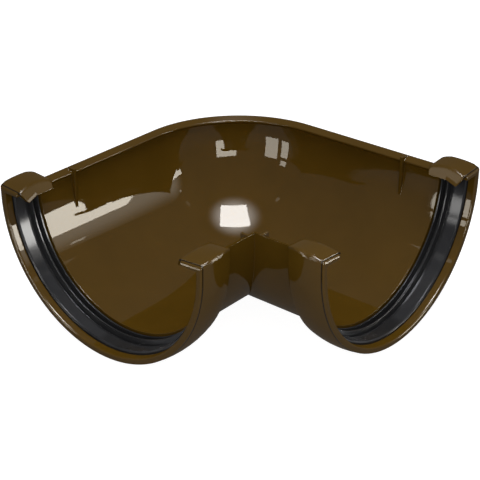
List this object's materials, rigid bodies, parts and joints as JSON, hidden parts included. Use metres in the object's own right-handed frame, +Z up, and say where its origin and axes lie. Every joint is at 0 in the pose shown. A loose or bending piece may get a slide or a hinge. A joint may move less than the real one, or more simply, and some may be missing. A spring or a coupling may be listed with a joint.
{
  "type": "gutter corner",
  "caption": "Right-angle corner for a half-round rain gutter, with a rounded outer corner and a clip-in socket with a rubber seal at each end.",
  "frame": {"origin": "under the middle of the part's box, at the height of the collars' lowest points", "axes": "+Z up, out of the open trough; the right arm runs along +X and the left arm along -Y"},
  "size_m": [0.1816, 0.1816, 0.0793],
  "materials": {
    "brown_plastic": "glossy moulded plastic, dark brown",
    "seal_rubber": "smooth dark grey rubber"
  },
  "bodies": {
    "root": {"corner_body": "brown_plastic", "seal_right": "seal_rubber", "seal_left": "seal_rubber"}
  },
  "joints": []
}
